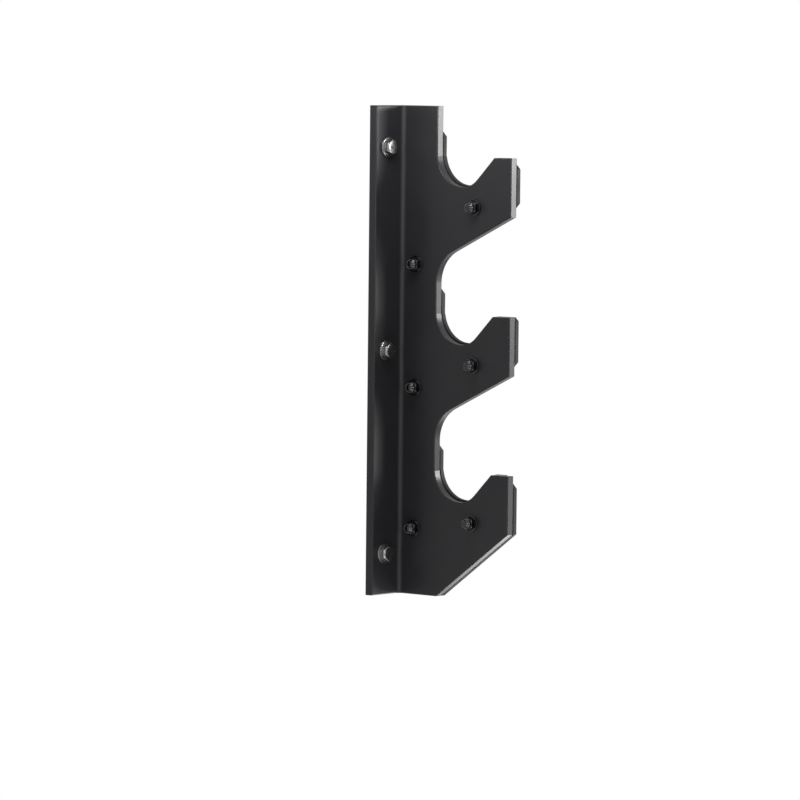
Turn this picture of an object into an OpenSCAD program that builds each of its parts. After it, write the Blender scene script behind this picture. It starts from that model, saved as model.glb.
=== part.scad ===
// Wall-mounted barbell storage rack: a left and a right upright, each bent from one steel plate
// into a wall flange and a web with three upturned hooks, with a plastic liner plate on the
// outboard face of the web. Bars lie across the pair, one in each pair of seats.
// X runs along the wall, -Y is forward into the room and Z is up. The wall is the plane Y = 0,
// and the origin is midway between the uprights at half their height.

/* [Pair] */
// Distance between the two vertical lines of wall bolts
bolt_line_span = 1219.2; // [1100:0.1:1240]

/* [Upright] */
// Height of an upright
upright_h = 495.3; // [480:0.1:560]
// Thickness of the steel plate
steel_t = 9.525; // [6:0.025:11]
// Inside radius of the bend between flange and web
bend_r = 5; // [3:0.5:7]
// Width of the wall flange over the steel
flange_w = 50.8; // [46:0.1:64]
// Distance from the wall to the front edge of the web between the hooks
waist_d = 55; // [48:0.5:60]

/* [Hooks] */
// Distance from the wall to the front of the hooks
hook_reach = 152; // [140:0.5:170]
// Height from one hook to the next
hook_pitch = 158.75; // [150:0.25:165]
// Drop from the top of the upright to the first hook's tip
top_drop = 50.8; // [45:0.1:60]
// Width of the flat tip of a hook
tip_w = 22.5; // [18:0.5:26]
// Height of the straight front of a hook
hook_front_h = 59; // [54:0.5:66]
// Slope of the underside of the upper hooks
underside_angle = 25.5; // [18:0.5:30]
// Radius of the inside curve between the underside and the web below it
underside_r = 36; // [25:1:44]
// How far the foot stands out past the web's front edge, where the lowest underside meets it
foot_out = 3.5; // [0:0.5:6]
// Depth of the seat below the tip
seat_depth = 30; // [24:0.5:34]
// Slope of the ramp from the tip down into the seat
ramp_angle = 45; // [40:1:55]
// Radius of the front half of the seat
seat_front_r = 27; // [20:0.5:30]

/* [Liner] */
// Thickness of the plastic liner plate
liner_t = 5.5; // [4.5:0.1:8]
// How far the liner stands back from the steel edge where no bar touches it
liner_inset = 6.5; // [4:0.5:8]
// How far the liner stands above the steel in the seats
liner_proud = 1.5; // [0.5:0.1:3]
// Height of the liner's back arm above the tip of its hook
liner_rise = 20; // [14:1:26]
// Length of the chamfer under the front of the liner, measured towards the wall
liner_chamfer = 13; // [5:0.5:18]
// Cuts across the liner's front corners at the tips, from the top hook down
liner_corners = [11, 4, 13]; // [2:0.5:16]
// Gap between the steel's bend and the liner's back edge
liner_back_gap = 1; // [0.5:0.5:3]

/* [Liner fasteners] */
// Diameter of the liner screws
screw_d = 8; // [6:0.5:8]
// Length of the liner screws
screw_len = 26; // [25:0.5:30]
// Head diameter of the countersunk liner screws
screw_head_d = 16; // [14:0.5:17]
// Width of the hexagonal socket in the screw heads, across its flats
socket_af = 5; // [4:0.5:6]
// Depth of the socket
socket_depth = 3; // [2:0.1:3.4]
// Outside diameter of the liner washers
washer_d = 17; // [15:0.5:20]
// Thickness of the liner washers
washer_t = 1.6; // [1:0.1:2]
// Width of the lock nuts across their flats
nut_af = 13; // [12:0.5:14]
// Height of the lock nuts with their nylon collars
nut_h = 8; // [7:0.5:9]
// Height of the hexagonal part of the lock nuts
nut_hex_h = 5.6; // [5:0.1:6.4]
// How far a nut's nylon collar stands back from its flats
nut_collar_back = 0.7; // [0.4:0.1:1]
// Distance of the hook screws back from the front of the hook
hook_screw_back = 47; // [36:0.5:54]
// Drop of the hook screws below the tip
hook_screw_drop = 50; // [46:0.5:56]
// Distance of the spine screws from the wall
spine_screw_d = 29; // [26:0.5:36]
// Drops of the spine screws from the top of the upright
spine_screw_drops = [160, 285, 428]; // [140:1:440]

/* [Wall bolts] */
// Diameter of the wall bolts' threaded part, which lies behind the wall plane
bolt_d = 9.525; // [8:0.025:10]
// Diameter of the plain shank that passes through the washer and the flange
bolt_shank_d = 9.85; // [8.6:0.05:10.2]
// Length of the wall bolts under the head
bolt_len = 63.5; // [50:0.5:90]
// Width of the wall bolt heads across their flats
bolt_head_af = 14.3; // [13:0.1:15]
// Height of the wall bolt heads
bolt_head_h = 6.1; // [5:0.1:7]
// Length of the tapered point of a wall bolt
bolt_point = 9; // [6:0.5:12]
// Outside diameter of the wall washers
bolt_washer_d = 20.6; // [18:0.2:25]
// Thickness of the wall washers
bolt_washer_t = 2; // [1.2:0.1:2.5]
// Diameter of the holes for the wall bolts
bolt_hole_d = 11; // [10.5:0.1:12]
// Distance from the inboard face of the web to the line of the wall bolts
bolt_inset = 24; // [21:0.5:26]
// Distance of the outer wall bolts from the ends of the upright
bolt_end = 42; // [34:0.5:60]

/* [Hidden] */
SIDES = ["left", "right"];
LEVELS = ["top", "middle", "lower"];
ZONES = ["hook", "spine"];
$fn = 96;
FLATS = 6;
FLAT_ANGLE = 180 / FLATS;

// Clearances round the screws
screw_clear = 0.25;
thread_clear = 0.05;
seat_clear = 0.1;
// Chamfer at the end of a screw, round of a nut's collar and radius at the point of a wall bolt
screw_end_chamfer = 0.8;
collar_round = 1.2;
bolt_point_r = 0.6;
// How far the chamfer on a hexagon's corners reaches past its flats, as a share
corner_reach = 1.2;
// A small step past a face, so that a cut leaves no skin
past = 1;

// Distances from the wall that follow from the sizes above
bend_end_d = steel_t + bend_r;
liner_back_d = bend_end_d + liner_back_gap;
tip_back_d = hook_reach - tip_w;
foot_d = waist_d + foot_out;
seat_low_d = tip_back_d - seat_depth / tan(ramp_angle) - seat_front_r * tan(ramp_angle / 2);
seat_back_r = seat_low_d - waist_d;
web_x = bolt_line_span / 2 + bolt_inset;

// Radii of a liner screw's hole and of its clearance in the liner's countersink
screw_hole_r = screw_d / 2 + screw_clear;
sink_r = screw_head_d / 2 + seat_clear;

// Heights above the foot of the upright
tip_z = [for (i = [0:2]) upright_h - top_drop - i * hook_pitch];
spine_z = [for (drop = spine_screw_drops) upright_h - drop];
bolt_z = [upright_h - bolt_end, upright_h / 2, bolt_end];

// Height of a hook's underside at distance d from the wall
function underside_z(tip, d) = tip - hook_front_h - (hook_reach - d) * tan(underside_angle);
// Height of the centre of the curve under a hook
function under_centre_z(tip) =
    underside_z(tip, waist_d + underside_r) - underside_r / cos(underside_angle);
// Point of the curve under a hook where it leaves the sloping underside
function under_leave(tip, inset) = [
    waist_d + underside_r - (underside_r + inset) * sin(underside_angle),
    under_centre_z(tip) + (underside_r + inset) * cos(underside_angle)
];
// Radius of a hexagon's corners from its width across the flats
function corner_r(af) = af / 2 / cos(FLAT_ANGLE);
// Height of the chamfer that turns a hexagon's corners
function corner_chamfer(af) = (corner_r(af) - af / 2) * tan(FLAT_ANGLE) * corner_reach;
// Places of the screws on the web as distance from the wall and height
function screw_place(zone, i) = zone == "hook"
    ? [hook_reach - hook_screw_back, tip_z[i] - hook_screw_drop]
    : [spine_screw_d, spine_z[i]];

// Stands a flat side view up: its x becomes distance from the wall, its y height, its depth +X
module from_side(depth) {
    translate([depth, 0, 0])
        rotate([90, 0, -90])
            linear_extrude(depth)
                children();
}

// Puts a shape drawn for the right upright on the side asked for
module on_side(side) {
    if (side == "right") {
        translate([web_x, 0, -upright_h / 2]) children();
    } else {
        mirror([1, 0, 0]) translate([web_x, 0, -upright_h / 2]) children();
    }
}

// Space of a bar seat in side view: an arc down from the web, an arc up to the ramp, the ramp
module seat_space(tip, proud) {
    front_r = seat_front_r - proud;
    low_z = tip - seat_depth + proud;
    front_c = [seat_low_d, low_z + front_r];
    back_c = [seat_low_d, low_z + seat_back_r];
    ramp_foot = front_c + front_r * [sin(ramp_angle), -cos(ramp_angle)];
    roof_z = back_c[1] + liner_rise;
    ramp_run = (tip + seat_depth - ramp_foot[1]) / tan(ramp_angle);
    ramp_top = ramp_foot + ramp_run * [1, tan(ramp_angle)];
    intersection() {
        translate(back_c) circle(seat_back_r);
        translate([waist_d - past, low_z - past])
            square([seat_back_r + past, seat_back_r + past]);
    }
    intersection() {
        translate(front_c) circle(front_r);
        translate([seat_low_d, low_z - past]) square([front_r + past, front_r + past]);
    }
    translate([waist_d, back_c[1]]) square([seat_back_r, roof_z - back_c[1]]);
    polygon([
        front_c, ramp_foot, ramp_top,
        [ramp_top[0], max(roof_z, ramp_top[1])], [seat_low_d, max(roof_z, ramp_top[1])]
    ]);
}

// Curve under one of the two upper hooks: the upper half of a circle that touches the web
module under_space(tip, inset) {
    r = underside_r + inset;
    translate([waist_d + underside_r, under_centre_z(tip)]) intersection() {
        circle(r);
        translate([-r, 0]) square([2 * r, r]);
    }
}

// Steel web in side view, from the end of the bend forwards
module web_outline() {
    difference() {
        union() {
            translate([bend_end_d, 0]) square([waist_d - bend_end_d, upright_h]);
            for (i = [0:1]) {
                polygon([
                    [bend_end_d, tip_z[i]], [hook_reach, tip_z[i]],
                    [hook_reach, tip_z[i] - hook_front_h], under_leave(tip_z[i], 0),
                    [waist_d, under_centre_z(tip_z[i])], [bend_end_d, under_centre_z(tip_z[i])]
                ]);
            }
            polygon([
                [bend_end_d, tip_z[2]], [hook_reach, tip_z[2]],
                [hook_reach, tip_z[2] - hook_front_h], [foot_d, 0], [bend_end_d, 0]
            ]);
        }
        for (i = [0:2]) seat_space(tip_z[i], 0);
        for (i = [0:1]) under_space(tip_z[i], 0);
    }
}

// Liner plate in side view: behind the steel edge between the hooks, level with it at the tips
// and above it in the seats
module liner_outline() {
    step_d = waist_d - liner_inset;
    arm_z = [for (tip = tip_z) tip + liner_rise + liner_inset];
    chamfer_z = hook_front_h - liner_inset / cos(underside_angle)
        - liner_chamfer * (1 - tan(underside_angle));
    difference() {
        union() {
            for (i = [0:1]) {
                tip = tip_z[i];
                low_z = min(under_centre_z(tip), arm_z[i + 1]) - past;
                difference() {
                    polygon([
                        [liner_back_d, tip], [hook_reach - liner_corners[i], tip],
                        [hook_reach, tip - liner_corners[i]], [hook_reach, tip - chamfer_z],
                        [hook_reach - liner_chamfer, tip - chamfer_z - liner_chamfer],
                        under_leave(tip, liner_inset),
                        [step_d, under_centre_z(tip)], [step_d, low_z], [liner_back_d, low_z]
                    ]);
                    under_space(tip, liner_inset);
                }
            }
            polygon([
                [liner_back_d, tip_z[2]], [hook_reach - liner_corners[2], tip_z[2]],
                [hook_reach, tip_z[2] - liner_corners[2]],
                [hook_reach, tip_z[2] - hook_front_h], [foot_d, 0], [liner_back_d, 0]
            ]);
            for (i = [0:2]) {
                polygon([
                    [liner_back_d, arm_z[i]], [step_d, arm_z[i]],
                    [waist_d, tip_z[i] + liner_rise], [waist_d, tip_z[i]], [liner_back_d, tip_z[i]]
                ]);
            }
        }
        for (i = [0:2]) seat_space(tip_z[i], liner_proud);
    }
}

// Plan view of the wall flange and the bend that joins it to the web
module flange_plan() {
    translate([steel_t - flange_w, -steel_t]) square([flange_w - bend_end_d, steel_t]);
    intersection() {
        translate([-bend_r, -bend_end_d]) difference() {
            circle(bend_end_d);
            circle(bend_r);
        }
        translate([-bend_r, -bend_end_d]) square([bend_end_d + past, bend_end_d + past]);
    }
}

// A hole or shank along X at a place on the web, from x0 over a length
module across(place, x0, length, r) {
    translate([x0, -place[0], place[1]]) rotate([0, 90, 0]) cylinder(h = length, r = r);
}

// Bent steel upright with its three hooks and its holes
module upright(side) {
    color("#26262a") on_side(side) difference() {
        union() {
            linear_extrude(upright_h) flange_plan();
            from_side(steel_t) web_outline();
        }
        for (z = bolt_z)
            translate([-bolt_inset, past, z]) rotate([90, 0, 0])
                cylinder(h = steel_t + 2 * past, d = bolt_hole_d);
        for (zone = ZONES, i = [0:2])
            across(screw_place(zone, i), -past, steel_t + 2 * past, screw_hole_r);
    }
}

// Plastic liner plate with countersunk holes
module liner(side) {
    color("#3a3a38") on_side(side) translate([steel_t, 0, 0]) difference() {
        from_side(liner_t) liner_outline();
        for (zone = ZONES, i = [0:2]) {
            place = screw_place(zone, i);
            across(place, -past, liner_t + 2 * past, screw_hole_r);
            translate([liner_t, -place[0], place[1]]) rotate([0, -90, 0])
                cylinder(h = sink_r - screw_hole_r, r1 = sink_r, r2 = screw_hole_r);
            across(place, liner_t, past, sink_r);
        }
    }
}

// Countersunk liner screw, its head flush in the liner and its end standing past the nut
module liner_screw(side, zone, i) {
    place = screw_place(zone, i);
    shank_r = screw_d / 2;
    head_r = screw_head_d / 2;
    body_h = screw_len - screw_end_chamfer;
    color("#2b2b2b") on_side(side)
        translate([steel_t + liner_t - seat_clear, -place[0], place[1]]) rotate([0, -90, 0])
            difference() {
                union() {
                    cylinder(h = seat_clear, r = head_r);
                    translate([0, 0, seat_clear])
                        cylinder(h = head_r - shank_r, r1 = head_r, r2 = shank_r);
                    cylinder(h = body_h, r = shank_r);
                    translate([0, 0, body_h])
                        cylinder(h = screw_end_chamfer, r1 = shank_r, r2 = shank_r - screw_end_chamfer);
                }
                translate([0, 0, -past])
                    cylinder(h = socket_depth + past, r = corner_r(socket_af), $fn = FLATS);
            }
}

// Flat washer between the web and a lock nut
module liner_washer(side, zone, i) {
    place = screw_place(zone, i);
    color("#303030") on_side(side) difference() {
        across(place, -washer_t, washer_t, washer_d / 2);
        across(place, -washer_t - past, washer_t + 2 * past, screw_hole_r);
    }
}

// Lock nut: chamfered hexagon with a rounded nylon collar at its outer end
module liner_nut(side, zone, i) {
    place = screw_place(zone, i);
    flat_r = nut_af / 2;
    outer_r = corner_r(nut_af) + past;
    slope = past * tan(FLAT_ANGLE);
    chamfer = corner_chamfer(nut_af);
    collar_r = flat_r - nut_collar_back;
    color("#303030") on_side(side) translate([-washer_t, -place[0], place[1]])
        rotate([0, -90, 0]) difference() {
            union() {
                intersection() {
                    cylinder(h = nut_hex_h, r = corner_r(nut_af), $fn = FLATS);
                    rotate_extrude() polygon([
                        [0, 0], [flat_r, 0], [outer_r, chamfer + slope],
                        [outer_r, nut_hex_h - chamfer - slope], [flat_r, nut_hex_h], [0, nut_hex_h]
                    ]);
                }
                rotate_extrude() {
                    square([collar_r - collar_round, nut_h]);
                    square([collar_r, nut_h - collar_round]);
                    translate([collar_r - collar_round, nut_h - collar_round])
                        circle(collar_round);
                }
            }
            translate([0, 0, -past]) cylinder(h = nut_h + 2 * past, r = screw_d / 2 + thread_clear);
        }
}

// Lag bolt: hexagonal head, plain shank through the flange, threaded part behind the wall
module wall_bolt(side, i) {
    chamfer = corner_chamfer(bolt_head_af);
    head_r = corner_r(bolt_head_af);
    shank_len = bolt_washer_t + steel_t;
    color("#c4c6c8") on_side(side)
        translate([-bolt_inset, -shank_len, bolt_z[i]]) rotate([-90, 0, 0]) {
            intersection() {
                rotate([0, 0, FLAT_ANGLE]) translate([0, 0, -bolt_head_h])
                    cylinder(h = bolt_head_h, r = head_r, $fn = FLATS);
                union() {
                    translate([0, 0, chamfer - bolt_head_h])
                        cylinder(h = bolt_head_h - chamfer, r = head_r);
                    translate([0, 0, -bolt_head_h])
                        cylinder(h = chamfer, r1 = bolt_head_af / 2, r2 = head_r);
                }
            }
            cylinder(h = shank_len, d = bolt_shank_d);
            cylinder(h = bolt_len - bolt_point, d = bolt_d);
            translate([0, 0, bolt_len - bolt_point])
                cylinder(h = bolt_point, r1 = bolt_d / 2, r2 = bolt_point_r);
        }
}

// Flat washer under the head of a wall bolt
module wall_washer(side, i) {
    color("#b8babc") on_side(side) translate([-bolt_inset, -steel_t, bolt_z[i]])
        rotate([90, 0, 0]) difference() {
            cylinder(h = bolt_washer_t, d = bolt_washer_d);
            translate([0, 0, -past])
                cylinder(h = bolt_washer_t + 2 * past, r = bolt_shank_d / 2 + screw_clear);
        }
}

for (side = SIDES) {
    upright(side);
    liner(side);
    for (i = [0:2]) {
        for (zone = ZONES) {
            liner_screw(side, zone, i);
            liner_washer(side, zone, i);
            liner_nut(side, zone, i);
        }
        wall_bolt(side, i);
        wall_washer(side, i);
    }
}
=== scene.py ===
"""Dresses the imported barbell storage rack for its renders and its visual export.

The rack is a pair of wall uprights. Each is laser cut from 9.5 mm plate, bent to a wall flange and
a web with three upturned hooks, and powder coated satin black. A black polyethylene liner plate is
screwed to the outboard face of each web, and three zinc plated lag bolts go through each flange.
X runs along the wall, -Y points into the room and Z points up. The wall is the plane Y = 0.
"""

import logging
import math
from dataclasses import dataclass
from enum import Enum
from typing import Optional

import bmesh
import bpy
import numpy as np
from mathutils import Matrix, Vector


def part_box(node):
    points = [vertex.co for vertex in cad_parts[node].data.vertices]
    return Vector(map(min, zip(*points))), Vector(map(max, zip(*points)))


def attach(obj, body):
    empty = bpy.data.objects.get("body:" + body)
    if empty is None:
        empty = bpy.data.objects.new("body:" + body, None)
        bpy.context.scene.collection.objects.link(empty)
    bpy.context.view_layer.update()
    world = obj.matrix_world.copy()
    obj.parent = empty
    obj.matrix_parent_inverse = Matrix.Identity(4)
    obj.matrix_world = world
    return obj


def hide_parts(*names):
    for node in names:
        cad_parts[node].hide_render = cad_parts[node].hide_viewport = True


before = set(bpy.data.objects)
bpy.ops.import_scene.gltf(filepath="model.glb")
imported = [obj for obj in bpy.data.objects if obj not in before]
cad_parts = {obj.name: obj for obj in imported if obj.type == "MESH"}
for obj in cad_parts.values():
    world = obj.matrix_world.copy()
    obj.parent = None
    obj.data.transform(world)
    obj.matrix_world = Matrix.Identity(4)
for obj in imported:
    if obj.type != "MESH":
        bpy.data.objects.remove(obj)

LOG = logging.getLogger("rack")
MM = 0.001
WHITE = (1.0, 1.0, 1.0, 1.0)

# A noise pattern's values lie mostly between these two
NOISE_LOW = 0.3
NOISE_HIGH = 0.7

# Edges that turn by more than these angles in degrees stay sharp on plates and on turned pieces
PLATE_CREASE = 30.0
TURNED_CREASE = 38.0

# How far apart merged points may lie, how far merged faces may turn, and how far a length may be off
MERGE_MM = 0.001
FLAT_DEG = 0.4
LENGTH_SLACK_MM = 0.002


class Side(Enum):
    """Which upright of the pair, with the direction along X in which its web is outboard."""

    LEFT = -1
    RIGHT = 1


class Zone(Enum):
    """Where a liner screw sits on the web."""

    HOOK = "hook"
    SPINE = "spine"


class Level(Enum):
    """Height of a fastener on its upright."""

    TOP = "top"
    MIDDLE = "middle"
    LOWER = "lower"


class Slot(Enum):
    """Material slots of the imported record."""

    STEEL = "powder_coated_steel"
    LINER = "liner_plastic"
    BLACK = "black_fastener"
    ZINC = "zinc_plated_steel"


def linear(colour: str) -> tuple[float, float, float, float]:
    """Turns an sRGB hex colour into linear light.

    Args:
        colour: the colour as "#rrggbb".

    Returns:
        Red, green, blue and an alpha of 1.
    """
    level = np.array([int(colour[i:i + 2], 16) for i in (1, 3, 5)]) / 255
    light = np.where(level <= 0.04045, level / 12.92, ((level + 0.055) / 1.055) ** 2.4)
    return (*light.tolist(), 1.0)


def add_node(
    tree: bpy.types.NodeTree,
    kind: str,
    settings: Optional[dict] = None,
    links: Optional[dict] = None,
) -> bpy.types.Node:
    """Adds a node with its settings and its inputs.

    Args:
        tree: the node tree.
        kind: the node's type name.
        settings: values of the node's own properties by name.
        links: for an input's name or number, the output it is fed from or its plain value.

    Returns:
        The new node.
    """
    node = tree.nodes.new(kind)
    for name, value in (settings or {}).items():
        setattr(node, name, value)
    for name, value in (links or {}).items():
        socket = node.inputs[name]
        if isinstance(value, bpy.types.NodeSocket):
            tree.links.new(value, socket)
        else:
            socket.default_value = value
    return node


def per_metre(size_mm: float) -> float:
    """Noise scale at which one cell of the pattern measures size_mm."""
    return 1 / (size_mm * MM)


@dataclass(frozen=True)
class Finish:
    """A surface finish: its plain values and the sizes of its pattern in millimetres."""

    name: str
    colour: str
    second_colour: str
    roughness: float
    roughness_swing: float
    metallic: float = 0.0
    specular: float = 0.5

    def begin(self) -> tuple[bpy.types.Material, bpy.types.Node, bpy.types.Node]:
        """Starts the material.

        Returns:
            The material, its shader node and its node of object coordinates.
        """
        material = bpy.data.materials.new(self.name)
        material.use_nodes = True
        tree = material.node_tree
        tree.nodes.clear()
        shader = add_node(tree, "ShaderNodeBsdfPrincipled", links={
            "Base Color": linear(self.colour),
            "Roughness": self.roughness,
            "Metallic": self.metallic,
            "Specular IOR Level": self.specular,
        })
        add_node(tree, "ShaderNodeOutputMaterial", links={"Surface": shader.outputs["BSDF"]})
        return material, shader, add_node(tree, "ShaderNodeTexCoord")

    def vary(
        self, shader: bpy.types.Node, tone: bpy.types.NodeSocket, gloss: bpy.types.NodeSocket
    ) -> None:
        """Lets one pattern shift the colour and another the roughness.

        Args:
            shader: the material's shader node.
            tone: a pattern from 0 to 1 that mixes the two colours.
            gloss: a pattern from 0 to 1 that moves the roughness by the swing, up and down.
        """
        tree = shader.id_data
        mixed = add_node(tree, "ShaderNodeMix", {"data_type": "RGBA"}, {
            0: tone, 6: linear(self.colour), 7: linear(self.second_colour)})
        tree.links.new(mixed.outputs[2], shader.inputs["Base Color"])
        swung = add_node(tree, "ShaderNodeMapRange", links={
            "Value": gloss, "From Min": NOISE_LOW, "From Max": NOISE_HIGH,
            "To Min": self.roughness - self.roughness_swing,
            "To Max": self.roughness + self.roughness_swing})
        tree.links.new(swung.outputs["Result"], shader.inputs["Roughness"])

    def emboss(
        self, shader: bpy.types.Node, height: bpy.types.NodeSocket, depth_mm: float
    ) -> None:
        """Raises the surface by a height pattern from 0 to 1, depth_mm at its highest."""
        bump = add_node(shader.id_data, "ShaderNodeBump", links={
            "Height": height, "Distance": depth_mm * MM, "Strength": 1.0})
        shader.id_data.links.new(bump.outputs["Normal"], shader.inputs["Normal"])


@dataclass(frozen=True)
class PowderCoat(Finish):
    """Satin black polyester powder coat, sprayed and baked on cut steel plate."""

    peel_mm: float = 2.4
    peel_depth_mm: float = 0.004
    cloud_mm: float = 60.0

    def material(self) -> bpy.types.Material:
        """Makes the material: a soft gloss broken by the shallow ripple called orange peel.

        Returns:
            The material.
        """
        material, shader, coords = self.begin()
        tree = material.node_tree
        place = coords.outputs["Object"]
        # Powder melts into low swellings 2 to 3 mm across, which gives highlights a soft, uneven rim
        peel = add_node(tree, "ShaderNodeTexNoise", links={
            "Vector": place, "Scale": per_metre(self.peel_mm), "Detail": 2.0, "Roughness": 0.4})
        # The film's thickness drifts over several centimetres, which gives slow changes of gloss
        cloud = add_node(tree, "ShaderNodeTexNoise", links={
            "Vector": place, "Scale": per_metre(self.cloud_mm), "Detail": 3.0, "Roughness": 0.5})
        self.vary(shader, cloud.outputs["Fac"], cloud.outputs["Fac"])
        self.emboss(shader, peel.outputs["Fac"], self.peel_depth_mm)
        return material


@dataclass(frozen=True)
class CutPolyethylene(Finish):
    """Black high-density polyethylene sheet, skived and then routed to its outline."""

    feed_mm: float = 1.6
    feed_depth_mm: float = 0.02
    streak_mm: float = 22.0

    def material(self) -> bpy.types.Material:
        """Makes the material: a dull waxy black with cutter marks across its edges.

        Returns:
            The material.
        """
        material, shader, coords = self.begin()
        tree = material.node_tree
        # The router leaves marks across the edge. Real ones are 0.4 mm apart and wouldn't show in
        # the render, so they are drawn 1.6 mm apart. They run along X, the sheet's thickness.
        laid = add_node(tree, "ShaderNodeMapping", links={
            "Vector": coords.outputs["Object"],
            "Scale": (per_metre(self.streak_mm), per_metre(self.feed_mm), per_metre(self.feed_mm))})
        marks = add_node(tree, "ShaderNodeTexNoise", links={
            "Vector": laid.outputs["Vector"], "Scale": 1.0, "Detail": 3.0, "Roughness": 0.6})
        # Handling polishes the sheet in patches, which breaks up its dullness
        rub = add_node(tree, "ShaderNodeTexNoise", links={
            "Vector": coords.outputs["Object"], "Scale": per_metre(self.streak_mm),
            "Detail": 4.0, "Roughness": 0.6})
        self.vary(shader, marks.outputs["Fac"], rub.outputs["Fac"])
        self.emboss(shader, marks.outputs["Fac"], self.feed_depth_mm)
        return material


@dataclass(frozen=True)
class BlackOxide(Finish):
    """Alloy steel fasteners, rolled or forged and blackened in a hot oxide bath."""

    grain_mm: float = 1.2
    grain_depth_mm: float = 0.004

    def material(self) -> bpy.types.Material:
        """Makes the material: dark oiled metal with small patches of deeper black.

        Returns:
            The material.
        """
        material, shader, coords = self.begin()
        tree = material.node_tree
        # Oil collects in patches a millimetre or so wide, which gives the metal a mottled sheen
        grain = add_node(tree, "ShaderNodeTexNoise", links={
            "Vector": coords.outputs["Object"], "Scale": per_metre(self.grain_mm),
            "Detail": 3.0, "Roughness": 0.6})
        self.vary(shader, grain.outputs["Fac"], grain.outputs["Fac"])
        self.emboss(shader, grain.outputs["Fac"], self.grain_depth_mm)
        return material


@dataclass(frozen=True)
class ZincPlate(Finish):
    """Bright zinc electroplate with a clear passivate on cold headed bolts."""

    bloom_mm: float = 7.0
    scratch_mm: float = 0.8
    scratch_len_mm: float = 9.0
    scratch_depth_mm: float = 0.006
    scratch_turn: tuple[float, float, float] = (0.3, 0.5, 0.7)

    def material(self) -> bpy.types.Material:
        """Makes the material: bright metal with a faint warm bloom and fine handling scratches.

        Returns:
            The material.
        """
        material, shader, coords = self.begin()
        tree = material.node_tree
        # The passivate is thinner in places, which tints the silver faintly warm
        bloom = add_node(tree, "ShaderNodeTexNoise", links={
            "Vector": coords.outputs["Object"], "Scale": per_metre(self.bloom_mm),
            "Detail": 2.0, "Roughness": 0.5})
        # Bolts tumble against each other in the plating barrel, which leaves long fine scratches
        laid = add_node(tree, "ShaderNodeMapping", links={
            "Vector": coords.outputs["Object"], "Rotation": self.scratch_turn,
            "Scale": (per_metre(self.scratch_len_mm), per_metre(self.scratch_mm),
                      per_metre(self.scratch_mm))})
        scratch = add_node(tree, "ShaderNodeTexNoise", links={
            "Vector": laid.outputs["Vector"], "Scale": 1.0, "Detail": 4.0, "Roughness": 0.7})
        self.vary(shader, bloom.outputs["Fac"], scratch.outputs["Fac"])
        self.emboss(shader, scratch.outputs["Fac"], self.scratch_depth_mm)
        return material


@dataclass(frozen=True)
class Nylon(Finish):
    """Smoke grey moulded nylon ring, pressed into the collar of a lock nut."""

    flow_mm: float = 1.5

    def material(self) -> bpy.types.Material:
        """Makes the material: a dull grey plastic with faint flow clouds from moulding.

        Returns:
            The material.
        """
        material, shader, coords = self.begin()
        flow = add_node(material.node_tree, "ShaderNodeTexNoise", links={
            "Vector": coords.outputs["Object"], "Scale": per_metre(self.flow_mm), "Detail": 2.0})
        self.vary(shader, flow.outputs["Fac"], flow.outputs["Fac"])
        return material


@dataclass
class Shell:
    """A closed surface worked out as arrays: its points in metres, faces and finish numbers."""

    points: np.ndarray
    faces: list
    finish: np.ndarray


@dataclass(frozen=True)
class Axis:
    """Where a turned piece stands: its origin in metres, and the way its outer end points."""

    origin: tuple[float, float, float]
    outward: tuple[float, float, float]

    def place(self, local_mm: np.ndarray) -> np.ndarray:
        """Carries local points in millimetres to the frame.

        The local z axis goes to the outward direction and the local y axis to world Z. World
        points are origin + x (Z cross outward) + y Z + z outward.

        Args:
            local_mm: points as an array of shape (n, 3).

        Returns:
            The points in metres, shape (n, 3).
        """
        outward = np.array(self.outward)
        upward = np.array([0.0, 0.0, 1.0])
        turn = np.stack([np.cross(upward, outward), upward, outward])
        return np.array(self.origin) + local_mm * MM @ turn


def hexagon_angles() -> np.ndarray:
    """Angles in radians round a hexagon, close together at its corners, at 30, 90, 150 and on."""
    from_flat = np.array([-30, -29.2, -28, -26, -22, -14, -5, 5, 14, 22, 26, 28, 29.2])
    return np.radians((60 * np.arange(6)[:, None] + from_flat).ravel())


def hexagon(across_flats: float, angles: np.ndarray, sharpness: float = 60.0) -> np.ndarray:
    """Radius of a hexagon with softly rounded corners.

    The radius is half the width across the flats, divided by a power mean of the cosines of the
    angles to the three pairs of flats. A high power gives a nearly sharp corner.

    Args:
        across_flats: width across the flats in millimetres.
        angles: angles in radians.
        sharpness: the power.

    Returns:
        A radius in millimetres for each angle.
    """
    flats = np.abs(np.cos(angles[:, None] - np.radians([0, 60, 120])))
    return across_flats / 2 * (flats ** sharpness).sum(axis=1) ** (-1 / sharpness)


def rows(profile: list) -> tuple[np.ndarray, np.ndarray]:
    """Stacks a profile into arrays of radius and height.

    Args:
        profile: pairs of radius and height, each a number or one value per angle.

    Returns:
        Two arrays of shape (rows, angles), or (rows, 1) for a plain profile.
    """
    pairs = [np.broadcast_arrays(np.atleast_1d(r), np.atleast_1d(z)) for r, z in profile]
    width = max(r.size for r, _ in pairs)
    radius = np.stack([np.broadcast_to(r, width) for r, _ in pairs]).astype(float)
    height = np.stack([np.broadcast_to(z, width) for _, z in pairs]).astype(float)
    return radius, height


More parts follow.
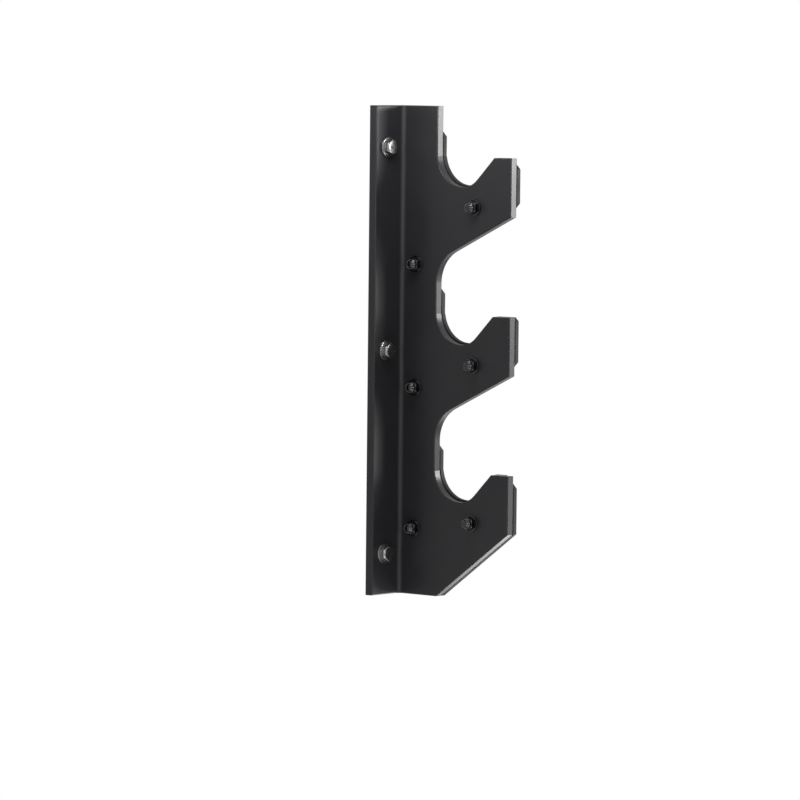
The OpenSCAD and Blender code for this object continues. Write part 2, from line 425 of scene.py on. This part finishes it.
def turned(
    radius: np.ndarray, height: np.ndarray, angles: np.ndarray, axis: Axis, ring: bool,
    inner_rows: tuple[int, int] = (0, 0),
) -> Shell:
    """Turns a profile about an axis.

    A point is (r cos a, r sin a, z) for the angle a of its column and the radius r and height z
    of its row and column. Each cell of the grid becomes one face and the last column joins the
    first. In a ring the last row joins the first too. Otherwise the first and the last row lie
    on the axis, and each becomes one point with a fan of triangles.

    Args:
        radius: radii in millimetres, shape (rows, columns) or (rows, 1).
        height: heights in millimetres, the same shape.
        angles: the angle of each column in radians, rising.
        axis: where the piece stands.
        ring: whether the profile closes on itself.
        inner_rows: first and last row of a band that takes the second finish.

    Returns:
        The finished shell.
    """
    count, wide = radius.shape[0], angles.size
    radius = np.broadcast_to(radius, (count, wide))
    height = np.broadcast_to(height, (count, wide))
    local = np.stack([radius * np.cos(angles), radius * np.sin(angles), height], axis=-1)
    index = np.arange(count * wide).reshape(count, wide)
    near, far = (index, np.roll(index, -1, axis=0)) if ring else (index[1:-2], index[2:-1])
    cells = np.stack([near, far, np.roll(far, -1, axis=1), np.roll(near, -1, axis=1)], axis=-1)
    band = np.zeros(near.shape, int)
    band[inner_rows[0]:inner_rows[1]] = 1
    faces, finish = cells.reshape(-1, 4).tolist(), band.ravel()
    if not ring:
        first, last = index[1], index[-2]
        start = np.stack([np.full(wide, index[0, 0]), first, np.roll(first, -1)], axis=-1)
        end = np.stack([np.full(wide, index[-1, 0]), np.roll(last, -1), last], axis=-1)
        faces += start.tolist() + end.tolist()
        finish = np.concatenate([finish, np.zeros(2 * wide, int)])
    return Shell(axis.place(local.reshape(-1, 3)), faces, finish)


def thread(
    depth: np.ndarray, angles: np.ndarray, major_r: float, root_r: float, pitch: float,
    width: float, run_in: float,
) -> np.ndarray:
    """Radius of a right-handed screw thread.

    The phase is the depth in pitches less the angle in turns. The ridge is a tent over the phase,
    highest in its middle and zero beyond half the width, and it rises from the root to the
    major radius. Over the first run_in millimetres the root falls from the major radius.

    Args:
        depth: distance of each row from the thread's start, millimetres, shape (rows, 1).
        angles: angle of each column in radians.
        major_r: radius over the ridges in millimetres.
        root_r: radius between the ridges in millimetres.
        pitch: distance from ridge to ridge in millimetres.
        width: share of the pitch that the ridge's foot takes.
        run_in: length over which the thread begins, in millimetres.

    Returns:
        Radii in millimetres, shape (rows, columns).
    """
    phase = (depth / pitch - angles / (2 * np.pi)) % 1.0
    ridge = np.clip(1 - np.abs(phase - 0.5) / (width / 2), 0, 1)
    root = root_r + (major_r - root_r) * np.clip(1 - depth / run_in, 0, 1)
    return root + (major_r - root) * ridge


def finish_piece(
    piece: bpy.types.Object, node: str, crease_deg: float
) -> bpy.types.Object:
    """Shades a piece, puts it in the place of its CAD node and lets it ride on the rack.

    Args:
        piece: the finished object, in place.
        node: the CAD node that it replaces.
        crease_deg: edges that turn by more than this stay sharp.

    Returns:
        The piece.
    """
    piece.data.polygons.foreach_set("use_smooth", np.ones(len(piece.data.polygons), bool))
    piece.data.set_sharp_from_angle(angle=math.radians(crease_deg))
    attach(piece, "root")
    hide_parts(node)
    LOG.info("%s: %d faces", piece.name, len(piece.data.polygons))
    return piece


def shell_piece(
    node: str, shell: Shell, materials: list[bpy.types.Material]
) -> bpy.types.Object:
    """Makes a shell into the piece that stands for a CAD node.

    Args:
        node: the CAD node.
        shell: the surface.
        materials: the finishes that the shell's finish numbers point to.

    Returns:
        The new piece.
    """
    mesh = bpy.data.meshes.new(f"{node}_turned")
    mesh.from_pydata(shell.points, [], shell.faces)
    for material in materials:
        mesh.materials.append(material)
    mesh.polygons.foreach_set("material_index", shell.finish.astype(np.int32))
    bm = bmesh.new()
    bm.from_mesh(mesh)
    loose = [vert for vert in bm.verts if not vert.link_faces]
    bmesh.ops.delete(bm, geom=loose, context="VERTS")
    bm.to_mesh(mesh)
    bm.free()
    piece = bpy.data.objects.new(mesh.name, mesh)
    bpy.context.scene.collection.objects.link(piece)
    return finish_piece(piece, node, TURNED_CREASE)


def washer_shell(outer_r: float, bore_r: float, thick: float, axis: Axis) -> Shell:
    """Turns a flat washer whose profile is a rectangle with cut inner and rounded outer corners.

    Args:
        outer_r: outside radius in millimetres.
        bore_r: radius of the hole in millimetres.
        thick: thickness in millimetres.
        axis: where the washer stands, its origin in the washer's lower face.

    Returns:
        The finished shell.
    """
    angles = np.radians(np.arange(0, 360, 6))
    burr = 0.1
    # The middle of a quarter circle lies 0.3 of its radius in from both sides
    soft = 0.3 * thick
    inward = 0.3 * soft
    profile = [
        (bore_r, thick - burr),
        (bore_r + burr, thick),
        (outer_r - soft, thick),
        (outer_r - inward, thick - inward),
        (outer_r, thick - soft),
        (outer_r, soft),
        (outer_r - inward, inward),
        (outer_r - soft, 0),
        (bore_r + burr, 0),
        (bore_r, burr),
    ]
    radius, height = rows(profile)
    return turned(radius, height, angles, axis, ring=True)


def outline(bm: bmesh.types.BMesh, thick_mm: float, hole_mm: float = 100.0) -> list:
    """Finds the edges round the outline of a plate, on both of its faces.

    A face of the cut side has an edge as long as the plate is thick, and the plate's own faces
    have none. Where one of each kind meet they share a rim edge. Rim edges that touch form a
    chain, and the chains shorter than hole_mm are left out, because they go round holes.

    Args:
        bm: the plate's mesh, with its flat faces merged.
        thick_mm: thickness of the plate in millimetres.
        hole_mm: the longest way round a hole in millimetres.

    Returns:
        The rim edges of the outline.
    """
    slack = LENGTH_SLACK_MM * MM
    tall = {edge for edge in bm.edges if abs(edge.calc_length() - thick_mm * MM) < slack}
    cut = {face for face in bm.faces if not tall.isdisjoint(face.edges)}
    left = {edge for edge in bm.edges if len(cut.intersection(edge.link_faces)) == 1
            and edge.calc_face_angle() > math.radians(PLATE_CREASE)}
    found = []
    while left:
        chain = [left.pop()]
        for edge in chain:
            near = {other for vert in edge.verts for other in vert.link_edges} & left
            left -= near
            chain += near
        if sum(edge.calc_length() for edge in chain) > hole_mm * MM:
            found += chain
    return found


def plate_piece(
    node: str, material: bpy.types.Material, thick_mm: float, edge_mm: float,
    segments: int
) -> bpy.types.Object:
    """Rounds the outline of a cut plate, starting from a merged copy of its CAD mesh.

    The holes keep their sharp edges. The normals are weighted by the faces' areas, so that the
    plate's own faces stay flat beside the rounded edges.

    Args:
        node: the CAD node.
        material: the plate's finish.
        thick_mm: thickness of the plate in millimetres.
        edge_mm: radius of the rounded edges in millimetres.
        segments: faces across a rounded edge.

    Returns:
        The new piece.
    """
    mesh = bpy.data.meshes.new(f"{node}_plate")
    bm = bmesh.new()
    bm.from_mesh(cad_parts[node].data)
    bmesh.ops.remove_doubles(bm, verts=bm.verts, dist=MERGE_MM * MM)
    bmesh.ops.dissolve_limit(
        bm, angle_limit=math.radians(FLAT_DEG), verts=bm.verts, edges=bm.edges,
        use_dissolve_boundaries=False)
    rounded = bm.edges.layers.float.new("bevel_weight_edge")
    for edge in outline(bm, thick_mm):
        edge[rounded] = 1.0
    bm.to_mesh(mesh)
    bm.free()
    mesh.materials.clear()
    mesh.materials.append(material)
    mesh.polygons.foreach_set("material_index", np.zeros(len(mesh.polygons), np.int32))
    piece = bpy.data.objects.new(mesh.name, mesh)
    bpy.context.scene.collection.objects.link(piece)
    bevel = piece.modifiers.new("rounded edges", "BEVEL")
    bevel.width = edge_mm * MM
    bevel.segments = segments
    bevel.use_clamp_overlap = False
    bevel.limit_method = "WEIGHT"
    bevel.loop_slide = False
    flat = piece.modifiers.new("flat faces", "WEIGHTED_NORMAL")
    flat.mode = "FACE_AREA"
    flat.keep_sharp = True
    return finish_piece(piece, node, PLATE_CREASE)


def middle(node: str) -> np.ndarray:
    """Middle of a CAD node's box in metres."""
    low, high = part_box(node)
    return (np.array(low) + np.array(high)) / 2


@dataclass
class Upright:
    """One bent steel upright, a wall flange and a web with hooks. Sizes in millimetres."""

    side: Side
    thickness: float = 9.525
    edge_mm: float = 1.2
    edge_segments: int = 3

    def build(self, coat: bpy.types.Material) -> None:
        """Makes the upright and coats it.

        Args:
            coat: the powder coat.
        """
        node = f"upright_{self.side.name.lower()}"
        plate_piece(node, coat, self.thickness, self.edge_mm, self.edge_segments)


@dataclass
class Liner:
    """The plastic liner plate on the outboard face of a web. Sizes in millimetres."""

    side: Side
    edge_mm: float = 0.5
    edge_segments: int = 2

    def build(self, plastic: bpy.types.Material) -> None:
        """Makes the liner plate.

        Args:
            plastic: the sheet's finish.
        """
        node = f"liner_{self.side.name.lower()}"
        low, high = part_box(node)
        thickness = (high.x - low.x) / MM
        plate_piece(node, plastic, thickness, self.edge_mm, self.edge_segments)


@dataclass
class LinerFasteners:
    """The countersunk screws, washers and lock nuts that hold a liner. Sizes in millimetres."""

    side: Side

    screw_r: float = 4.0
    thread_root_r: float = 3.35
    thread_pitch: float = 1.25
    thread_len: float = 15.0
    thread_run_in: float = 1.0
    thread_ridge: float = 0.9
    thread_step: float = 0.18
    end_chamfer: float = 0.8
    end_cut: float = 0.3
    end_cut_in: float = 0.4

    head_r: float = 8.0
    head_rim: float = 0.1
    head_round: float = 0.25
    head_round_drop: float = 0.02
    head_rim_in: float = 0.03
    head_under_in: float = 0.15
    socket_af: float = 5.0
    socket_depth: float = 3.0
    socket_mouth: float = 0.35
    socket_land: float = 0.5
    drill_point: float = 0.7
    drill_shoulder: float = 0.2
    midway: float = 0.6
    hold: float = 0.1
    wide_hold: float = 0.2

    washer_bore_r: float = 4.25

    nut_bore_r: float = 4.05
    nut_bore_chamfer: float = 0.5
    nut_af: float = 13.0
    nut_hex_h: float = 5.6
    chamfer_slope: float = 0.69
    chamfer_rows: tuple[tuple[float, float], ...] = ((0.0, 0.1), (0.5, 0.08), (1.0, 0.06))
    chamfer_hold: float = 0.15
    collar_r: float = 5.8
    collar_round: float = 1.2
    collar_foot: float = 0.3
    collar_foot_up: float = 0.08
    collar_lip_r: float = 4.95
    collar_lip_w: float = 0.12
    ring_h: float = 1.9
    ring_cone_depth: float = 0.7
    ring_cone_w: float = 0.25
    ring_inner_depth: float = 0.42
    ring_outer_depth: float = 0.36

    def axis(self, node: str, outboard: bool) -> Axis:
        """Finds a fastener's axis from its CAD node.

        Args:
            node: the CAD node.
            outboard: whether the outer end points away from the other upright.

        Returns:
            The axis, with its origin in the face that the outer end stands on or in.
        """
        low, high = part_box(node)
        way = self.side.value if outboard else -self.side.value
        back, front = (low.x, high.x) if way > 0 else (high.x, low.x)
        centre = middle(node)
        return Axis((front if outboard else back, centre[1], centre[2]), (float(way), 0.0, 0.0))

    def screw(self, node: str, black: bpy.types.Material) -> None:
        """Makes a countersunk screw with its hexagonal socket and its thread.

        The rows run from the socket's floor up its wall, over the flat head, down the cone and
        the shank and along the thread to the chamfered end. The rows called hold keep the
        shading of an edge narrow.

        Args:
            node: the CAD node.
            black: the screw's finish.
        """
        angles = hexagon_angles()
        low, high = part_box(node)
        length = (high.x - low.x) / MM
        socket = hexagon(self.socket_af, angles)
        floor, mouth = -self.socket_depth, self.socket_mouth
        start = length - self.thread_len
        depth = np.arange(0, self.thread_len - self.end_chamfer, self.thread_step)[:, None]
        ridge = thread(depth, angles, self.screw_r, self.thread_root_r, self.thread_pitch,
                       self.thread_ridge, self.thread_run_in)
        upper = [
            (0, floor - self.drill_point),
            (self.midway * socket, floor - self.drill_shoulder),
            (socket, floor),
            (socket, floor + self.hold),
            (socket, -mouth),
            (socket + self.midway * mouth, -self.hold),
            (socket + mouth, 0),
            (socket + self.socket_land, 0),
            (self.head_r - self.head_round - self.wide_hold, 0),
            (self.head_r - self.head_round, -self.head_round_drop),
            (self.head_r - self.head_rim_in, -self.head_rim),
            (self.head_r - self.head_under_in, -self.head_rim - self.wide_hold),
            (self.screw_r, -self.head_rim - self.head_r + self.screw_r),
            (self.screw_r, -start + self.wide_hold),
        ]
        lower = [
            (self.thread_root_r, -length + self.end_cut),
            (self.thread_root_r - self.end_cut_in, -length),
            (0, -length),
        ]
        top_r, top_z = rows(upper)
        end_r, end_z = rows(lower)
        wide = np.ones(angles.size)
        radius = np.concatenate([top_r, ridge, end_r * wide])
        height = np.concatenate([top_z, (-start - depth) * wide, end_z * wide])
        shell = turned(radius, height, angles, self.axis(node, True), ring=False)
        shell_piece(node, shell, [black])

    def washer(self, node: str, black: bpy.types.Material) -> None:
        """Makes a punched flat washer whose outer rim is softly rounded.

        Args:
            node: the CAD node.
            black: the washer's finish.
        """
        low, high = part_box(node)
        shell = washer_shell(
            (high.z - low.z) / MM / 2, self.washer_bore_r, (high.x - low.x) / MM,
            self.axis(node, False))
        shell_piece(node, shell, [black])

    def nut(self, node: str, black: bpy.types.Material, nylon: bpy.types.Material) -> None:
        """Makes a lock nut: a chamfered hexagon, its rounded collar and the nylon ring in it.

        The rows run from the ring's bore over the collar, down the outside and back to the bore.
        A chamfered corner is lower than the flat's edge by its extra radius times a slope. Each
        chamfer row has its share of the way from the flat's edge to the corner, and lies in
        from there by a little, less with each row, so that no row turns back.

        Args:
            node: the CAD node.
            black: the nut's finish.
            nylon: the ring's finish.
        """
        angles = hexagon_angles()
        low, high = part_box(node)
        top = (high.x - low.x) / MM
        bore, lip, hex_h = self.nut_bore_r, self.collar_lip_r, self.nut_hex_h
        flat = self.nut_af / 2
        corner = hexagon(self.nut_af, angles)
        drop = (corner - flat) * self.chamfer_slope
        round_r = self.collar_round
        # The round of the collar begins outside its lip
        arc = np.radians([30, 45, 67.5, 90])
        profile = [
            (bore, top - self.ring_h),
            (bore, top - self.ring_cone_depth),
            (bore + self.ring_cone_w, top - self.ring_inner_depth),
            (lip - self.hold, top - self.ring_outer_depth),
            (lip, top - self.hold),
            (lip + self.collar_lip_w, top),
        ]
        nylon_rows = (0, 4)
        profile += [(self.collar_r - round_r + round_r * s, top - round_r * (1 - c))
                    for s, c in zip(np.sin(arc), np.cos(arc))]
        profile += [
            (self.collar_r, hex_h + self.collar_foot),
            (self.collar_r + self.hold, hex_h + self.collar_foot_up),
            (self.collar_r + self.collar_foot, hex_h),
        ]
        chamfer = [(flat + (corner - flat) * share - inward, drop * share)
                   for share, inward in self.chamfer_rows]
        profile += [(r, hex_h - z) for r, z in chamfer]
        profile += [
            (corner, hex_h - drop - self.chamfer_hold),
            (corner, drop + self.chamfer_hold),
        ]
        profile += chamfer[::-1]
        profile += [
            (bore + self.nut_bore_chamfer, 0),
            (bore, self.nut_bore_chamfer),
        ]
        radius, height = rows(profile)
        shell = turned(radius, height, angles, self.axis(node, False), ring=True,
                       inner_rows=nylon_rows)
        shell_piece(node, shell, [black, nylon])

    def build(self, black: bpy.types.Material, nylon: bpy.types.Material) -> None:
        """Makes the six screws, washers and nuts of one liner.

        Args:
            black: the fasteners' black oxide.
            nylon: the plastic of the rings in the lock nuts.
        """
        for zone in Zone:
            for level in Level:
                tail = f"{self.side.name.lower()}_{level.value}"
                self.screw(f"{zone.value}_screw_{tail}", black)
                self.washer(f"{zone.value}_washer_{tail}", black)
                self.nut(f"{zone.value}_nut_{tail}", black, nylon)


@dataclass
class WallFixings:
    """The lag bolts and washers that hold an upright to the wall. Sizes in millimetres."""

    side: Side

    head_af: float = 14.3
    head_h: float = 6.1
    head_foot: float = 0.3
    head_foot_in: float = 0.1
    head_foot_up: float = 0.08
    face_r: float = 6.7
    face_edge: float = 0.3
    face_drop: float = 0.05
    chamfer_deg: float = 30.0
    chamfer_in: float = 0.1
    chamfer_drop: float = 0.03
    midway: float = 0.5
    hold: float = 0.2

    shank_r: float = 4.925
    plain_r: float = 4.7625
    plain_len: float = 12.0
    plain_step: float = 0.02
    thread_gap: float = 0.3
    root_r: float = 3.3
    pitch: float = 3.63
    ridge: float = 0.5
    run_in: float = 2.0
    thread_step: float = 0.4
    point_len: float = 9.0
    point_r: float = 0.6

    washer_bore_r: float = 5.175

    def bolt(self, node: str, zinc: bpy.types.Material) -> None:
        """Makes a lag bolt: chamfered hexagon head, plain shank, coarse thread and point.

        The rows run from the middle of the head over its chamfer, down the flats, along the
        shank and the thread to the point. Over the last rows the radius is scaled down evenly
        with the distance to the tip, which draws the thread out to a point.

        Args:
            node: the CAD node.
            zinc: the bolt's finish.
        """
        angles = hexagon_angles()
        low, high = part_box(node)
        centre = middle(node)
        axis = Axis((centre[0], low.y + self.head_h * MM, centre[2]), (0.0, -1.0, 0.0))
        under = (high.y - low.y) / MM - self.head_h
        wall = -axis.origin[1] / MM
        corner = hexagon(self.head_af, angles)
        face, top = self.face_r, self.head_h
        drop = (corner - face) * math.tan(math.radians(self.chamfer_deg))
        head = [
            (0, top),
            (self.midway * face, top),
            (face - self.face_edge, top),
            (face, top - self.face_drop),
            (face + (corner - face) * self.midway, top - drop * self.midway - self.face_drop),
            (corner - self.chamfer_in, top - drop - self.chamfer_drop),
            (corner, top - drop - self.hold),
            (corner, self.head_foot),
            (corner - self.head_foot_in, self.head_foot_up),
            (corner - self.head_foot, 0),
            (self.shank_r + self.hold, 0),
            (self.shank_r, -self.hold),
            (self.shank_r, -wall + self.hold),
            (self.plain_r, -wall - self.plain_step),
            (self.plain_r, -wall - self.plain_len + self.thread_gap),
        ]
        start = wall + self.plain_len
        length = under - start
        depth = np.arange(0, length, self.thread_step)[:, None]
        coil = thread(depth, angles, self.plain_r, self.root_r, self.pitch, self.ridge, self.run_in)
        left = np.clip((length - depth) / self.point_len, 0, 1)
        coil = self.point_r * (1 - left) + coil * left
        top_r, top_z = rows(head)
        wide = np.ones(angles.size)
        radius = np.concatenate([top_r, coil, [self.midway * self.point_r * wide, 0 * wide]])
        height = np.concatenate([top_z, (-start - depth) * wide, [-under * wide, -under * wide]])
        shell_piece(node, turned(radius, height, angles, axis, ring=False), [zinc])

    def washer(self, node: str, zinc: bpy.types.Material) -> None:
        """Makes the flat washer under a bolt head.

        Args:
            node: the CAD node.
            zinc: the washer's finish.
        """
        low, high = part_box(node)
        centre = middle(node)
        axis = Axis((centre[0], high.y, centre[2]), (0.0, -1.0, 0.0))
        shell = washer_shell(
            (high.z - low.z) / MM / 2, self.washer_bore_r, (high.y - low.y) / MM, axis)
        shell_piece(node, shell, [zinc])

    def build(self, zinc: bpy.types.Material) -> None:
        """Makes the three bolts and washers of one upright.

        Args:
            zinc: their plating.
        """
        for level in Level:
            tail = f"{self.side.name.lower()}_{level.value}"
            self.bolt(f"wall_bolt_{tail}", zinc)
            self.washer(f"wall_washer_{tail}", zinc)


@dataclass
class Viewpoint:
    """The camera, at the photograph's angle. Angles in degrees, places in metres."""

    azimuth: float = -48.995
    elevation: float = 3.675
    roll: float = 0.573
    location: tuple[float, float, float] = (-3.67202, -3.75205, 0.31531)
    focal_px: float = 5633.7
    image_px: float = 800.0
    sensor_mm: float = 36.0
    nearest: float = 0.05
    farthest: float = 100.0

    def build(self) -> None:
        """Makes the camera.

        Its back axis points from the object to the camera: (sin a cos e, -cos a cos e, sin e) for
        the azimuth a and the elevation e. The roll then turns its right and up axes.
        """
        a, e, r = np.radians([self.azimuth, self.elevation, self.roll])
        back = np.array([np.sin(a) * np.cos(e), -np.cos(a) * np.cos(e), np.sin(e)])
        right = np.array([np.cos(a), np.sin(a), 0.0])
        up = np.cross(back, right)
        turned_right = np.cos(r) * right + np.sin(r) * up
        turned_up = np.cos(r) * up - np.sin(r) * right
        camera = bpy.data.cameras.new("photograph_view")
        camera.sensor_width = self.sensor_mm
        camera.lens = self.focal_px * self.sensor_mm / self.image_px
        camera.clip_start, camera.clip_end = self.nearest, self.farthest
        holder = bpy.data.objects.new("photograph_view", camera)
        pose = np.eye(4)
        pose[:3] = np.stack([turned_right, turned_up, back, self.location], axis=1)
        holder.matrix_world = Matrix(pose.tolist())
        bpy.context.scene.collection.objects.link(holder)
        bpy.context.scene.camera = holder


@dataclass(frozen=True)
class Softbox:
    """A rectangular light. Its place, the point that it faces and its size are in metres."""

    name: str
    place: tuple[float, float, float]
    aim: tuple[float, float, float]
    size: tuple[float, float]
    radiance: float

    def hang(self) -> None:
        """Hangs the light.

        Its power is its radiance times pi times its area. A radiance of 1 is white.
        """
        light = bpy.data.lights.new(self.name, "AREA")
        light.shape = "RECTANGLE"
        width, height = self.size
        light.size, light.size_y = width, height
        light.energy = self.radiance * math.pi * width * height
        holder = bpy.data.objects.new(self.name, light)
        holder.location = self.place
        holder.rotation_mode = "QUATERNION"
        way = Vector(self.aim) - Vector(self.place)
        holder.rotation_quaternion = way.to_track_quat("-Z", "Y")
        holder.visible_camera = False
        bpy.context.scene.collection.objects.link(holder)


# The right upright, which the camera sees, stands at X = 0.63
SOFTBOXES = (
    # From the right front, for the edges that face into the room
    Softbox("key_right", (1.95, -1.25, 0.3), (0.63, -0.05, 0.1), (0.6, 0.4), 48.0),
    Softbox("flank_high", (1.4, -1.22, 0.3), (0.62, -0.03, 0.15), (0.3, 0.25), 48.0),
    Softbox("flank_low", (1.4, -1.22, -0.3), (0.62, -0.03, -0.1), (0.3, 0.25), 36.0),
    # From below on the right, for the sloping foot
    Softbox("foot", (1.0, -0.12, -0.54), (0.64, -0.08, -0.22), (0.3, 0.2), 8.0),
    # Close by, for the top of the flange
    Softbox("top_left", (0.48, -0.13, 0.35), (0.63, -0.05, 0.21), (0.18, 0.12), 16.0),
    # From the left front and from below on the left, for the web
    Softbox("front_left", (-1.2, -3.0, 0.3), (0.63, 0.0, 0.0), (0.8, 0.8), 10.0),
    Softbox("low_left", (0.3, -0.35, -0.45), (0.63, -0.06, -0.2), (0.3, 0.2), 5.0),
    # For the left upright
    Softbox("left", (-2.2, -1.2, 0.6), (-0.63, 0.0, 0.0), (1.0, 1.0), 6.0),
    # From behind, for both uprights
    Softbox("back", (0.0, 2.6, 0.9), (0.0, 0.0, 0.0), (2.0, 1.0), 3.0),
)


@dataclass
class Studio:
    """The white wall, the pale floor and the soft lights. Sizes and places in metres."""

    wall_gap: float = 0.0005
    wall_half: float = 0.7
    wall_top: float = 1.5
    floor_z: float = -0.9
    floor_half: float = 9.0
    floor_colour: str = "#f3f3f1"
    floor_cloud: str = "#f7f7f5"
    floor_cloud_size: float = 2 / 3
    floor_glow: float = 0.85
    floor_near: float = 2.0
    floor_far: float = 4.0
    sky_level: float = 0.25
    panel_cells: int = 8

    def panel(self, name: str, corners: np.ndarray, material: bpy.types.Material) -> None:
        """Makes a flat stage panel.

        A point of the panel is a mix of its four corners by two shares u and v, each from 0 to 1.

        Args:
            name: the panel's name.
            corners: the four corners in order, shape (4, 3), seen anticlockwise from the front.
            material: its material.
        """
        share = np.linspace(0, 1, self.panel_cells + 1)
        u, v = np.meshgrid(share, share, indexing="ij")
        weight = np.stack([(1 - u) * (1 - v), u * (1 - v), u * v, (1 - u) * v], axis=-1)
        index = np.arange(u.size).reshape(u.shape)
        cells = np.stack([index[:-1, :-1], index[1:, :-1], index[1:, 1:], index[:-1, 1:]], axis=-1)
        mesh = bpy.data.meshes.new(name)
        mesh.from_pydata((weight @ corners).reshape(-1, 3), [], cells.reshape(-1, 4).tolist())
        mesh.materials.append(material)
        panel = bpy.data.objects.new(name, mesh)
        bpy.context.scene.collection.objects.link(panel)

    def wall_material(self) -> bpy.types.Material:
        """Makes the backdrop: white to the eye and in reflections from the front, else clear.

        Returns:
            The material.
        """
        material = bpy.data.materials.new("white_backdrop")
        material.use_nodes = True
        tree = material.node_tree
        tree.nodes.clear()
        side = add_node(tree, "ShaderNodeNewGeometry")
        front = add_node(tree, "ShaderNodeMath", {"operation": "SUBTRACT"}, {
            0: self.seen_directly(tree), 1: side.outputs["Backfacing"]})
        clear = add_node(tree, "ShaderNodeBsdfTransparent")
        white = add_node(tree, "ShaderNodeEmission", links={"Color": WHITE, "Strength": 1.0})
        shown = add_node(tree, "ShaderNodeMixShader", links={
            0: front.outputs[0], 1: clear.outputs[0], 2: white.outputs[0]})
        add_node(tree, "ShaderNodeOutputMaterial", links={"Surface": shown.outputs[0]})
        return material

    def seen_directly(self, tree: bpy.types.NodeTree) -> bpy.types.NodeSocket:
        """Adds a value that is 1 for camera, glossy and transmission rays, and 0 for the rest.

        Args:
            tree: the node tree.

        Returns:
            The value's output.
        """
        path = add_node(tree, "ShaderNodeLightPath")
        either = add_node(tree, "ShaderNodeMath", {"operation": "MAXIMUM"}, {
            0: path.outputs["Is Camera Ray"], 1: path.outputs["Is Glossy Ray"]})
        seen = add_node(tree, "ShaderNodeMath", {"operation": "MAXIMUM"}, {
            0: either.outputs[0], 1: path.outputs["Is Transmission Ray"]})
        return seen.outputs[0]

    def floor_material(self) -> bpy.types.Material:
        """Makes the pale matt floor with the faintest unevenness of rolled paint.

        To the eye a share of it is plain white: floor_glow near the rack, so that the rack's
        shadow shows, and all of it beyond floor_far metres, where it runs into the white sky.
        From below the floor is clear.

        Returns:
            The material.
        """
        material = bpy.data.materials.new("pale_matt_floor")
        material.use_nodes = True
        tree = material.node_tree
        tree.nodes.clear()
        coords = add_node(tree, "ShaderNodeTexCoord")
        cloud = add_node(tree, "ShaderNodeTexNoise", links={
            "Vector": coords.outputs["Object"], "Scale": 1 / self.floor_cloud_size,
            "Detail": 2.0})
        tone = add_node(tree, "ShaderNodeMix", {"data_type": "RGBA"}, {
            0: cloud.outputs["Fac"], 6: linear(self.floor_colour), 7: linear(self.floor_cloud)})
        paint = add_node(tree, "ShaderNodeBsdfDiffuse", links={"Color": tone.outputs[2]})
        white = add_node(tree, "ShaderNodeEmission", links={"Color": WHITE, "Strength": 1.0})
        reach = add_node(tree, "ShaderNodeVectorMath", {"operation": "LENGTH"}, {
            0: coords.outputs["Object"]})
        glow = add_node(tree, "ShaderNodeMapRange", links={
            "Value": reach.outputs["Value"], "From Min": self.floor_near,
            "From Max": self.floor_far, "To Min": self.floor_glow, "To Max": 1.0})
        share = add_node(tree, "ShaderNodeMath", {"operation": "MULTIPLY"}, {
            0: self.seen_directly(tree), 1: glow.outputs["Result"]})
        shown = add_node(tree, "ShaderNodeMixShader", links={
            0: share.outputs[0], 1: paint.outputs[0], 2: white.outputs[0]})
        side = add_node(tree, "ShaderNodeNewGeometry")
        clear = add_node(tree, "ShaderNodeBsdfTransparent")
        facing = add_node(tree, "ShaderNodeMixShader", links={
            0: side.outputs["Backfacing"], 1: shown.outputs[0], 2: clear.outputs[0]})
        add_node(tree, "ShaderNodeOutputMaterial", links={"Surface": facing.outputs[0]})
        return material

    def sky(self) -> None:
        """Sets the world: white where it is seen, and a lower even light on the object."""
        world = bpy.data.worlds.new("white_studio")
        bpy.context.scene.world = world
        world.use_nodes = True
        tree = world.node_tree
        tree.nodes.clear()
        seen = self.seen_directly(tree)
        light = add_node(tree, "ShaderNodeBackground", links={
            "Color": WHITE, "Strength": self.sky_level})
        white = add_node(tree, "ShaderNodeBackground", links={"Color": WHITE, "Strength": 1.0})
        mixed = add_node(tree, "ShaderNodeMixShader", links={
            0: seen, 1: light.outputs[0], 2: white.outputs[0]})
        add_node(tree, "ShaderNodeOutputWorld", links={"Surface": mixed.outputs[0]})

    def build(self) -> None:
        """Makes the wall, the floor, the world and the lights."""
        half, gap, wide = self.wall_half, self.wall_gap, self.floor_half
        self.panel("studio_wall", np.array([
            [-half, gap, self.floor_z], [half, gap, self.floor_z],
            [half, gap, self.wall_top], [-half, gap, self.wall_top]]), self.wall_material())
        self.panel("studio_floor", np.array([
            [-wide, -wide, self.floor_z], [wide, -wide, self.floor_z],
            [wide, wide, self.floor_z], [-wide, wide, self.floor_z]]), self.floor_material())
        self.sky()
        for softbox in SOFTBOXES:
            softbox.hang()


def main() -> None:
    """Builds the rack's pieces, the studio and the camera."""
    logging.basicConfig(level=logging.INFO, format="%(message)s")
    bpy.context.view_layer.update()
    bpy.context.scene.view_settings.view_transform = "Standard"
    coat = PowderCoat(
        "satin_black_powder_coat", "#1d1d1f", "#212123", roughness=0.34, roughness_swing=0.04,
        specular=0.16).material()
    plastic = CutPolyethylene(
        "black_routed_polyethylene", "#161615", "#1c1c1b", roughness=0.62, roughness_swing=0.06,
        specular=0.11).material()
    black = BlackOxide(
        "black_oxide_steel", "#3e3e40", "#323234", roughness=0.24, roughness_swing=0.05,
        metallic=1.0).material()
    zinc = ZincPlate(
        "bright_zinc_plate", "#84878a", "#8b8881", roughness=0.26, roughness_swing=0.07,
        metallic=1.0).material()
    nylon = Nylon(
        "smoke_grey_nylon", "#4b4b49", "#565653", roughness=0.5, roughness_swing=0.04).material()
    for side in Side:
        Upright(side).build(coat)
        Liner(side).build(plastic)
        LinerFasteners(side).build(black, nylon)
        WallFixings(side).build(zinc)
        LOG.info("%s upright is dressed", side.name.lower())
    Studio().build()
    Viewpoint().build()


if __name__ == "__main__":
    main()
